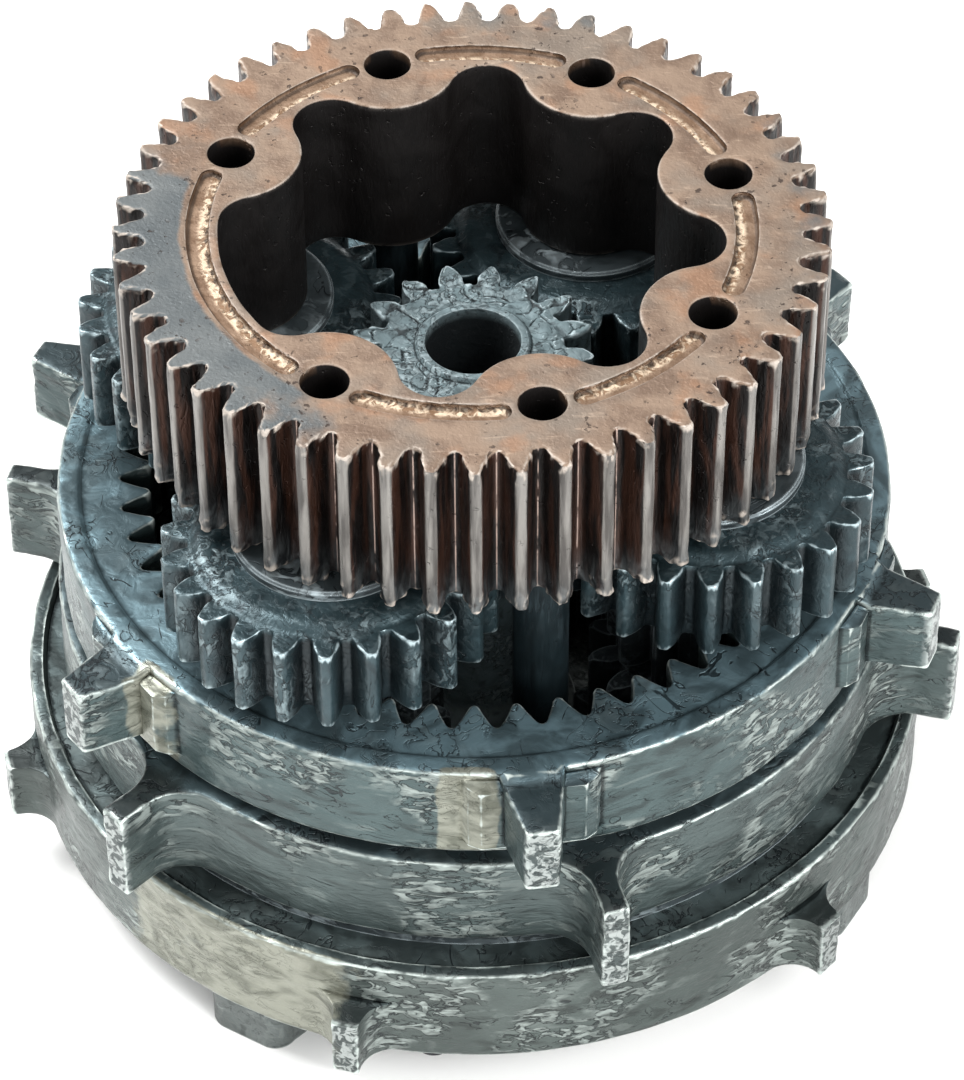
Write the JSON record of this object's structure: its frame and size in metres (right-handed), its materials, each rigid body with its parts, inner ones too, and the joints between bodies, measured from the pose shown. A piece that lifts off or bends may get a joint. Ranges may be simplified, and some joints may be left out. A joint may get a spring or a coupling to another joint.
{
  "type": "planetary gearbox",
  "caption": "Open compound planetary gear stack: toothed carrier flange on top, sun and stepped planets inside, stacked lugged ring gears and a tabbed base plate.",
  "frame": {"origin": "on the main axis, at the centre of the base plate's underside", "axes": "+Z along the main axis from the base plate to the toothed flange; -Y is the side the gearbox is usually seen from"},
  "size_m": [0.1152, 0.1148, 0.0871],
  "materials": {
    "flange_steel": "worn steel with a copper-tan tint and dark oily tooth gaps",
    "ring_steel": "dull grey-green oiled steel, scuffed, light along the edges",
    "planet_steel": "dark blue-grey oily gear steel with bright worn tooth edges",
    "sun_steel": "worn oily steel, crusted top face",
    "pin_steel": "ground steel, oily",
    "bronze": "sintered bronze, satin",
    "washer_steel": "rolled steel, satin",
    "base_steel": "dull dark grey steel, scuffed",
    "fastener_steel": "black oxide"
  },
  "bodies": {
    "root": {"base_plate": "base_steel", "plate_bearing": "bronze", "ring_gear_3": "ring_steel", "ring_spacer_lower": "washer_steel", "base_screws": "fastener_steel", "base_dowels": "pin_steel", "sun_thrust_washer": "bronze"},
    "carrier": {"carrier_gear": "flange_steel", "carrier_plate": "base_steel", "carrier_screws": "fastener_steel", "lower_washers": "bronze", "sun_bush": "bronze", "carrier_post_1": "pin_steel", "carrier_post_2": "pin_steel", "carrier_post_3": "pin_steel", "planet_pin_1": "pin_steel", "planet_pin_2": "pin_steel", "planet_pin_3": "pin_steel", "planet_pin_4": "pin_steel"},
    "sun": {"sun_gear": "sun_steel", "sun_clip": "fastener_steel"},
    "ring_1": {"ring_gear_1": "ring_steel"},
    "ring_2": {"ring_gear_2": "ring_steel", "ring_spacer_upper": "washer_steel"},
    "planet_1": {"planet_gear_1": "planet_steel", "planet_cluster_1": "planet_steel", "planet_bushes_1": "bronze", "planet_washer_1": "washer_steel"},
    "planet_2": {"planet_gear_2": "planet_steel", "planet_cluster_2": "planet_steel", "planet_bushes_2": "bronze", "planet_washer_2": "washer_steel"},
    "planet_3": {"planet_gear_3": "planet_steel", "planet_cluster_3": "planet_steel", "planet_bushes_3": "bronze", "planet_washer_3": "washer_steel"},
    "planet_4": {"planet_gear_4": "planet_steel", "planet_cluster_4": "planet_steel", "planet_bushes_4": "bronze", "planet_washer_4": "washer_steel"}
  },
  "joints": [
    {"name": "carrier_spin", "type": "hinge", "parent": "root", "child": "carrier", "pos_m": [0, 0, 0.076], "axis": [0, 0, 1], "continuous": true},
    {"name": "planet_1_spin", "type": "hinge", "parent": "carrier", "child": "planet_1", "pos_m": [-0.01608, -0.02583, 0.036], "axis": [0, 0, 1], "continuous": true},
    {"name": "planet_2_spin", "type": "hinge", "parent": "carrier", "child": "planet_2", "pos_m": [0.02645, -0.01502, 0.036], "axis": [0, 0, 1], "continuous": true},
    {"name": "planet_3_spin", "type": "hinge", "parent": "carrier", "child": "planet_3", "pos_m": [0.01394, 0.02704, 0.036], "axis": [0, 0, 1], "continuous": true},
    {"name": "planet_4_spin", "type": "hinge", "parent": "carrier", "child": "planet_4", "pos_m": [-0.02758, 0.01284, 0.036], "axis": [0, 0, 1], "continuous": true},
    {"name": "sun_spin", "type": "hinge", "parent": "root", "child": "sun", "pos_m": [0, 0, 0.06], "axis": [0, 0, 1], "continuous": true},
    {"name": "ring_1_spin", "type": "hinge", "parent": "root", "child": "ring_1", "pos_m": [0, 0, 0.043], "axis": [0, 0, 1], "continuous": true},
    {"name": "ring_2_spin", "type": "hinge", "parent": "root", "child": "ring_2", "pos_m": [0, 0, 0.0287], "axis": [0, 0, 1], "continuous": true}
  ],
  "couplings": [
    {"joint": "planet_1_spin", "follows": "carrier_spin", "ratio": -3.1667},
    {"joint": "planet_2_spin", "follows": "carrier_spin", "ratio": -3.1667},
    {"joint": "planet_3_spin", "follows": "carrier_spin", "ratio": -3.1667},
    {"joint": "planet_4_spin", "follows": "carrier_spin", "ratio": -3.1667},
    {"joint": "sun_spin", "follows": "carrier_spin", "ratio": 5.5521},
    {"joint": "ring_1_spin", "follows": "carrier_spin", "ratio": 0.2549},
    {"joint": "ring_2_spin", "follows": "carrier_spin", "ratio": 0.12037}
  ]
}
